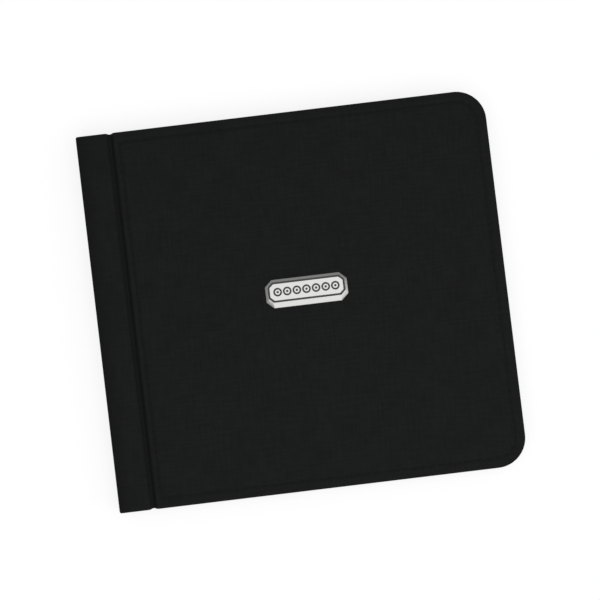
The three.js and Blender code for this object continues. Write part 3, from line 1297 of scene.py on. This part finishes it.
def generate(
    name: str,
    tree: Tree,
    points: Sequence[Point],
    edges: Sequence[tuple[int, int]],
    values: dict[str, object],
) -> Piece:
    """Runs a Geometry Nodes tree on a wire of points and keeps its result as a plain mesh.

    Args:
        name: The new piece's name.
        tree: The tree to run.
        points: The wire's points in the shared frame.
        edges: The wire's edges.
        values: The tree's inputs by name.

    Returns:
        The finished piece, with no modifier on it.
    """
    piece = new_piece(name, points, edges)
    modifier = piece.modifiers.new("generator", "NODES")
    modifier.node_group = tree
    set_inputs(modifier, values)
    return settle(piece)


@dataclass
class StitchRuns:
    """The lockstitch round one cover: needle thread outside, bobbin thread inside."""

    layout: Layout
    side: Side
    pitch: float = 4.6 * MM
    stitch: float = 3.9 * MM
    thread_radius: float = 0.26 * MM
    slant: float = 3.0
    wander: float = 1.5
    skin_sink: float = 0.16 * MM
    rise: float = 0.34 * MM
    inner_depth: float = 3.4 * MM
    needle_seed: int = 11
    bobbin_seed: int = 23
    sharp_angle: float = 60.0

    def run(
        self, word: str, tree: Tree, height: float, arch: float, seed: int, finishes: Finishes
    ) -> Piece:
        """Sews one run.

        Args:
            word: The thread's word in the piece's name.
            tree: The stitch tree.
            height: The height of the line that the thread lies on.
            arch: How far a stitch rises over the line; negative for a run seen from below.
            seed: The seed for the stitches' wander.
            finishes: The album's materials.

        Returns:
            The sewn piece.
        """
        line = self.layout.stitch_line()
        count = len(line)
        edges = [(i, (i + 1) % count) for i in range(count)]
        length = sum(math.dist(line[a], line[b]) for a, b in edges)
        values = {
            "Stitch Pitch": length / round(length / self.pitch),
            "Stitch Length": self.stitch,
            "Thread Radius": self.thread_radius,
            "Arch": arch,
            "Slant": math.radians(self.slant),
            "Wander": math.radians(self.wander),
            "Seed": seed,
            "Material": finishes.thread,
        }
        name = f"{self.side.word}_{word}_stitches"
        sewn = generate(name, tree, [(x, y, height) for x, y in line], edges, values)
        shade_by_angle(sewn, self.sharp_angle)
        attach(sewn, self.side.cover)
        return sewn

    def build(self, tree: Tree, finishes: Finishes) -> list[Piece]:
        """Sews both runs of the cover.

        Args:
            tree: The stitch tree.
            finishes: The album's materials.

        Returns:
            The outer run and the inner run.
        """
        rise = self.rise * self.side.value
        outer = self.layout.height(self.side, self.skin_sink)
        inner = self.layout.height(self.side, self.inner_depth)
        needle = self.run("needle", tree, outer, rise, self.needle_seed, finishes)
        bobbin = self.run("bobbin", tree, inner, -rise, self.bobbin_seed, finishes)
        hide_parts(f"{self.side.cover}_stitching")
        return [needle, bobbin]


# ------------------------------------------------------------------------------ badge


@dataclass
class Badge:
    """The metal plate: a bevelled oblong with cut corners, an enamelled line and coin discs."""

    layout: Layout
    rim: float = 1.2 * MM
    foot: float = 2.7 * MM
    line: float = 0.95 * MM
    corner: Place = (3.5 * MM, 3.2 * MM)
    rim_corner: Place = (2.3 * MM, 2.2 * MM)
    face_corner: Place = (1.9 * MM, 1.7 * MM)
    edge_height: float = 0.35 * MM
    face_height: float = 1.1 * MM
    line_sink: float = 0.15 * MM
    rounding: float = 0.1 * MM
    foot_rounding: float = 0.14 * MM
    crown: float = 0.03 * MM
    softness: float = 0.35 * MM
    face_softness: float = 0.8
    angle_points: int = 4
    disc_count: int = 7
    disc_pitch: float = 4.7 * MM
    disc_radius: float = 1.7 * MM
    disc_width: float = 0.85 * MM
    dot_radius: float = 0.6 * MM
    disc_relief: float = 0.12 * MM
    plate_angle: float = 12.0
    disc_angle: float = 30.0

    def __post_init__(self) -> None:
        """Takes the plate's place from the frame."""
        low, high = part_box("badge_plate")
        self.centre = ((low.x + high.x) / 2, (low.y + high.y) / 2)
        self.half = ((high.x - low.x) / 2, (high.y - low.y) / 2)
        self.base = self.layout.top

    def loop(self, sides: float, top: float, bottom: float, corner: Place, soft: float) -> list[Place]:
        """An oblong outline with cut and softened corners.

        Args:
            sides: How far its left and right edges stand in from the plate's.
            top: How far its top edge stands in.
            bottom: How far its bottom edge stands in.
            corner: How far the cut corners run along X and along Y.
            soft: How far each angle's rounding reaches along its edges.

        Returns:
            Its points, anticlockwise, as many to each of its eight angles.
        """
        left, right = -self.half[0] + sides, self.half[0] - sides
        low, high = -self.half[1] + bottom, self.half[1] - top
        cut_x, cut_y = corner
        angles = [
            (right, low + cut_y), (right, high - cut_y), (right - cut_x, high), (left + cut_x, high),
            (left, high - cut_y), (left, low + cut_y), (left + cut_x, low), (right - cut_x, low),
        ]
        points = []
        for number, here in enumerate(angles):
            before, after = angles[number - 1], angles[(number + 1) % len(angles)]
            start, angle, end = (np.array(p) for p in (before, here, after))
            enter = angle + (start - angle) * soft / np.linalg.norm(start - angle)
            leave = angle + (end - angle) * soft / np.linalg.norm(end - angle)
            for t in even(0, 1, self.angle_points - 1):
                spot = (1 - t) ** 2 * enter + 2 * t * (1 - t) * angle + t * t * leave
                points.append((self.centre[0] + spot[0], self.centre[1] + spot[1]))
        return points

    def sections(self) -> list[tuple[list[Place], float, int]]:
        """The plate's outlines from its base up its bevel and down into its line.

        Returns:
            Each outline, its height, and the material slot of the band above it.
        """
        rim, foot, turn = self.rim, self.foot, self.rounding
        edge, top = self.base + self.edge_height, self.base + self.face_height
        sunk = top - self.line_sink
        soft = self.softness
        outer = self.loop(0, 0, 0, self.corner, soft)
        rounded = self.loop(turn, turn, self.foot_rounding, self.corner, soft)
        crest = self.loop(rim - turn, rim - turn, foot - turn, self.rim_corner, soft)
        brink = self.loop(rim, rim, foot, self.rim_corner, soft)
        inner = (rim + self.line, rim + self.line, foot + self.line)
        face = self.loop(*inner, self.face_corner, soft * self.face_softness)
        return [
            (outer, self.base, 0),
            (outer, edge, 0),
            (rounded, edge + turn, 0),
            (crest, top - self.crown, 0),
            (brink, top, 0),
            (brink, sunk, 1),
            (face, sunk, 0),
            (face, top, 0),
        ]

    def build(self, finishes: Finishes, discs: Tree) -> list[Piece]:
        """Makes the plate with its enamel line, and the row of discs on it.

        Args:
            finishes: The album's materials.
            discs: The tree that makes the discs.

        Returns:
            The plate and the discs.
        """
        sections = self.sections()
        count = len(sections[0][0])
        points = [(x, y, height) for outline, height, _ in sections for x, y in outline]
        faces: list[Face] = []
        paints: list[int] = []
        for level, (_, _, paint) in enumerate(sections[:-1]):
            a, b = level * count, (level + 1) * count
            around = [(i, (i + 1) % count) for i in range(count)]
            faces += [(a + i, a + j, b + j, b + i) for i, j in around]
            paints += [paint] * count
        last = (len(sections) - 1) * count
        faces += [tuple(range(last, last + count)), tuple(reversed(range(count)))]
        paints += [0, 0]
        plate = mesh_piece("badge_bevelled_plate", points, faces, [finishes.plate, finishes.enamel])
        for face, paint in zip(plate.data.polygons, paints):
            face.material_index = paint
        shade_by_angle(plate, self.plate_angle)
        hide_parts("badge_plate")
        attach(plate, "front_cover")
        return [plate, self.row_of_discs(finishes, discs)]

    def row_of_discs(self, finishes: Finishes, tree: Tree) -> Piece:
        """Sets the plain coin discs along the middle of the face.

        Args:
            finishes: The album's materials.
            tree: The tree that makes the discs.

        Returns:
            The discs as one piece.
        """
        face_middle = self.centre[1] + (self.foot - self.rim) / 2
        top = self.base + self.face_height
        first = -(self.disc_count - 1) / 2
        spots = [
            (self.centre[0] + (first + k) * self.disc_pitch, face_middle, top)
            for k in range(self.disc_count)
        ]
        values = {
            "Ring Radius": self.disc_radius,
            "Ring Width": self.disc_width,
            "Dot Radius": self.dot_radius,
            "Relief": self.disc_relief,
            "Material": finishes.enamel,
        }
        row = generate("badge_coin_discs", tree, spots, [], values)
        shade_by_angle(row, self.disc_angle)
        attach(row, "front_cover")
        return row


# ------------------------------------------------------------------------------ leaves


@dataclass
class Leaf:
    """One clear leaf: a back film and a pocketed front film, clamped at one edge."""

    layout: Layout
    number: int
    columns: int = 3
    rows: int = 3
    film: float = 0.2 * MM
    binding_margin: float = 5.8 * MM
    weld: float = 3.0 * MM
    mouth: float = 0.8 * MM
    mouth_inset: float = 1.0 * MM
    thumb_radius: float = 8.0 * MM
    thumb_steps: int = 12
    bend_end: float = 4.0 * MM
    bend_steps: int = 20
    rib_pitch: float = 1.3 * MM
    rib_size: Point = (0.45 * MM, 1.8 * MM, 0.08 * MM)

    def __post_init__(self) -> None:
        """Takes the leaf's place from the frame."""
        low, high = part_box(self.node("front_film"))
        _, back_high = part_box(self.node("back_film"))
        tab_low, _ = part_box(self.node("binding_tab"))
        self.clamped = tab_low.x
        self.left, self.right = low.x, high.x
        self.half_height = high.y
        self.front_height = high.z
        self.back_height = back_high.z

    def node(self, part: str) -> str:
        """The name of one of the leaf's nodes."""
        return f"leaf_{self.number}_{part}"

    def grid_lines(self) -> tuple[list[float], list[float]]:
        """The middle lines of the welds.

        Returns:
            X of the upright welds from the binding outwards, and Y of the level welds upwards.
        """
        left = self.left + self.binding_margin + self.weld / 2
        right = self.right - self.weld / 2
        top = self.half_height - self.weld / 2
        return even(left, right, self.columns), even(-top, top, self.rows)

    def bend_stations(self) -> list[float]:
        """X stations from the clamp to where the leaf lies flat."""
        end = self.layout.fold + self.bend_end
        return [self.clamped, *even(self.layout.strip_edge, end, self.bend_steps)]

    def back_film(self) -> tuple[list[Point], list[Face]]:
        """The plain film behind the pockets.

        Returns:
            The points and the faces of an open sheet.
        """
        stations = [*self.bend_stations(), self.right]
        ends = (-self.half_height, self.half_height)
        points = [(x, y, self.back_height) for x in stations for y in ends]
        faces = [(2 * i, 2 * i + 2, 2 * i + 3, 2 * i + 1) for i in range(len(stations) - 1)]
        return points, faces

    def front_film(self) -> tuple[list[Point], list[Face]]:
        """The pocketed film, with a slit and a thumb notch at each pocket.

        Returns:
            The points and the faces of an open sheet.
        """
        across, up = self.grid_lines()
        half = self.half_height
        stations = self.bend_stations()
        net = SheetNet()
        net.patch([[net.point(x, y) for x in stations] for y in (-half, half)])
        levels = [-half, *up[1:-1], half]
        uprights = [*across[:-1], self.right]
        mouths = [y for row in range(self.rows) for y in self.mouth_lines(levels, row)]
        margin = [net.point(stations[-1], -half)]
        margin += [net.point(uprights[0], y) for y in sorted([*levels, *mouths])]
        margin.append(net.point(stations[-1], half))
        net.faces.append(tuple(margin))
        for column in range(self.columns):
            for row in range(self.rows):
                self.pocket(net, uprights[column:column + 2], levels, row)
        return [(x, y, self.front_height) for x, y in net.flat], net.faces

    def mouth_lines(self, levels: Sequence[float], row: int) -> Place:
        """The heights of the lower and the upper line of a row's mouths.

        Args:
            levels: The lines between the rows, from the tail up.
            row: The row's number from the tail.

        Returns:
            The two heights.
        """
        drop = self.weld if row == self.rows - 1 else self.weld / 2
        top = levels[row + 1] - drop
        return top - self.mouth, top

    def pocket(self, net: SheetNet, sides: Sequence[float], levels: Sequence[float], row: int) -> None:
        """Nets one pocket round its mouth.

        Args:
            net: The film's net.
            sides: X of the pocket's left and right edge.
            levels: The lines between the rows, from the tail up.
            row: The row's number from the tail.
        """
        left, right = sides
        low, high = levels[row:row + 2]
        bottom, top = self.mouth_lines(levels, row)
        inset = self.weld / 2 + self.mouth_inset
        start = left + inset
        end = right - (self.weld + self.mouth_inset if right == self.right else inset)
        centre = ((start + end) / 2, bottom)
        notch = [on_arc(centre, self.thumb_radius, a) for a in even(180, 360, self.thumb_steps)]
        under = [(left, low), (right, low), (right, bottom), (end, bottom)]
        under += [*notch[::-1], (start, bottom), (left, bottom)]
        over = [(left, top), (start, top), (end, top), (right, top), (right, high), (left, high)]
        left_land = [(left, bottom), (start, bottom), (start, top), (left, top)]
        right_land = [(end, bottom), (right, bottom), (right, top), (end, top)]
        for outline in (under, over, left_land, right_land):
            net.faces.append(tuple(net.point(x, y) for x, y in outline))

    def build(self, finishes: Finishes, ribs: Tree) -> list[Piece]:
        """Makes the leaf's two films and the ribs of its welds.

        Args:
            finishes: The album's materials.
            ribs: The tree that makes the ribs.

        Returns:
            The front film, the back film and the ribs.
        """
        films = []
        for part, (points, faces) in (("front", self.front_film()), ("back", self.back_film())):
            film = mesh_piece(self.node(f"{part}_sheet"), points, faces, [finishes.film])
            films.append(thicken(film, self.film))
        self.dress(films)
        return [*films, self.weld_ribs(finishes, ribs)]

    def dress(self, films: Sequence[Piece]) -> None:
        """Hides the frame's films and binding tab, and bakes both films' placement into their meshes.

        Args:
            films: The front film and the back film.
        """
        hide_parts(self.node("front_film"))
        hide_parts(self.node("back_film"), self.node("binding_tab"))
        for film in films:
            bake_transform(film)

    def weld_ribs(self, finishes: Finishes, tree: Tree) -> Piece:
        """Presses the ribs along every weld line.

        Args:
            finishes: The album's materials.
            tree: The tree that makes the ribs.

        Returns:
            The ribs as one piece.
        """
        across, up = self.grid_lines()
        height = self.front_height
        wires = [((x, up[0], height), (x, up[-1], height)) for x in across]
        wires += [((across[0], y, height), (across[-1], y, height)) for y in up]
        points = [point for wire in wires for point in wire]
        edges = [(2 * i, 2 * i + 1) for i in range(len(wires))]
        values = {"Rib Pitch": self.rib_pitch, "Rib Size": self.rib_size, "Material": finishes.weld}
        welds = generate(self.node("weld_ribs"), tree, points, edges, values)
        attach(welds, f"leaf_{self.number}")
        return welds


# ------------------------------------------------------------------------------ kept CAD nodes


@dataclass
class HiddenParts:
    """Boards, rivets and the clinch plate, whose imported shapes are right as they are."""

    finishes: Finishes

    def finish(self, name: str) -> Material | None:
        """The finish of a kept node.

        Args:
            name: The node's name.

        Returns:
            The material, or None for a node that a piece replaces.
        """
        if name.endswith("_board"):
            return self.finishes.board
        if name.startswith("binding_rivet") or name == "badge_clinch_plate":
            return self.finishes.steel
        return None

    def dress(self) -> list[str]:
        """Gives each of these nodes its finish.

        Returns:
            Their names.
        """
        dressed = {name: node for name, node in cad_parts.items() if self.finish(name)}
        for name, node in dressed.items():
            node.data.materials.clear()
            node.data.materials.append(self.finish(name))
        return list(dressed)


# ------------------------------------------------------------------------------ studio


@dataclass(frozen=True)
class SoftBox:
    """One square lamp that looks at the album, with its side in metres and its power in watts."""

    name: str
    place: Point
    size: float
    power: float

    def build(self) -> Piece:
        """Hangs the lamp.

        Returns:
            The lamp.
        """
        data = bpy.data.lights.new(self.name, "AREA")
        data.shape = "SQUARE"
        data.size = self.size
        data.energy = self.power
        lamp = bpy.data.objects.new(self.name, data)
        lamp.location = self.place
        lamp.rotation_euler = (-Vector(self.place)).to_track_quat("-Z", "Y").to_euler()
        bpy.context.scene.collection.objects.link(lamp)
        return lamp


@dataclass
class Studio:
    """A white floor, soft light and a camera that looks down on the front cover."""

    layout: Layout
    turn: float = -6.87
    tilt: float = 1.37
    distance: float = 1.0
    frame_width: float = 291.6 * MM
    aim: Place = (-0.8 * MM, 0.2 * MM)
    sensor: float = 36.0
    farthest: float = 100.0
    floor_size: float = 8.0
    floor_gap: float = 0.02 * MM
    ambient: float = 0.3
    lamps: tuple[SoftBox, ...] = (
        SoftBox("overhead_box", (0.05, -0.28, 1.4), 1.6, 6.9),
        SoftBox("side_box", (1.2, -0.4, 0.8), 0.9, 1.7),
    )

    def camera(self) -> Piece:
        """Places the camera.

        Returns:
            The camera.
        """
        data = bpy.data.cameras.new("camera")
        data.sensor_width = self.sensor
        data.lens = self.sensor * self.distance / self.frame_width
        data.clip_end = self.farthest
        camera = bpy.data.objects.new("camera", data)
        turn = Matrix.Rotation(math.radians(self.turn), 4, "Z")
        tilt = Matrix.Rotation(math.radians(self.tilt), 4, "X")
        middle = Vector(((self.layout.spine + self.layout.fore_edge) / 2, 0, self.layout.top))
        target = middle + turn.to_3x3() @ Vector((*self.aim, 0))
        camera.matrix_world = (
            Matrix.Translation(target) @ turn @ tilt @ Matrix.Translation((0, 0, self.distance))
        )
        bpy.context.scene.collection.objects.link(camera)
        bpy.context.scene.camera = camera
        return camera

    def floor(self) -> Piece:
        """Lays the floor under the album.

        Returns:
            The floor.
        """
        half = self.floor_size / 2
        low = self.layout.bottom - self.floor_gap
        corners = [(-half, -half, low), (half, -half, low), (half, half, low), (-half, half, low)]
        floor = mesh_piece("floor", corners, [(0, 1, 2, 3)], [LitFloor().material()])
        return floor

    def build(self) -> None:
        """Sets up the whole studio."""
        scene = bpy.context.scene
        scene.view_settings.view_transform = "Standard"
        world = bpy.data.worlds.new("studio")
        world.use_nodes = True
        tree = world.node_tree
        tree.nodes.clear()
        light = {"Color": linear("#ffffff"), "Strength": self.ambient}
        sky = add(tree, "ShaderNodeBackground", light)
        add(tree, "ShaderNodeOutputWorld", None, {"Surface": sky})
        scene.world = world
        for lamp in self.lamps:
            lamp.build()
        self.floor()
        self.camera()


# ------------------------------------------------------------------------------ the album


def main() -> None:
    """Builds the album from its studio to its leaves."""
    logging.basicConfig(level=logging.INFO, format="%(message)s")
    layout = Layout()
    Studio(layout).build()
    finishes = Finishes()
    LOG.info("dressed %s", ", ".join(HiddenParts(finishes).dress()))
    stitches = stitch_tree()
    for side in Side:
        pieces = [CoverSkin(layout, side).build(finishes), CoverLining(layout, side).build(finishes)]
        pieces += StitchRuns(layout, side).build(stitches, finishes)
        LOG.info("%s cover: %s", side.word, ", ".join(piece.name for piece in pieces))
    for piece in Badge(layout).build(finishes, disc_tree()):
        LOG.info("badge: %s", piece.name)
    ribs = rib_tree()
    leaf_count = sum(name.endswith("_binding_tab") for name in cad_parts)
    for number in range(1, leaf_count + 1):
        pieces = Leaf(layout, number).build(finishes, ribs)
        LOG.info("leaf %d: %s", number, ", ".join(piece.name for piece in pieces))


if __name__ == "__main__":
    main()
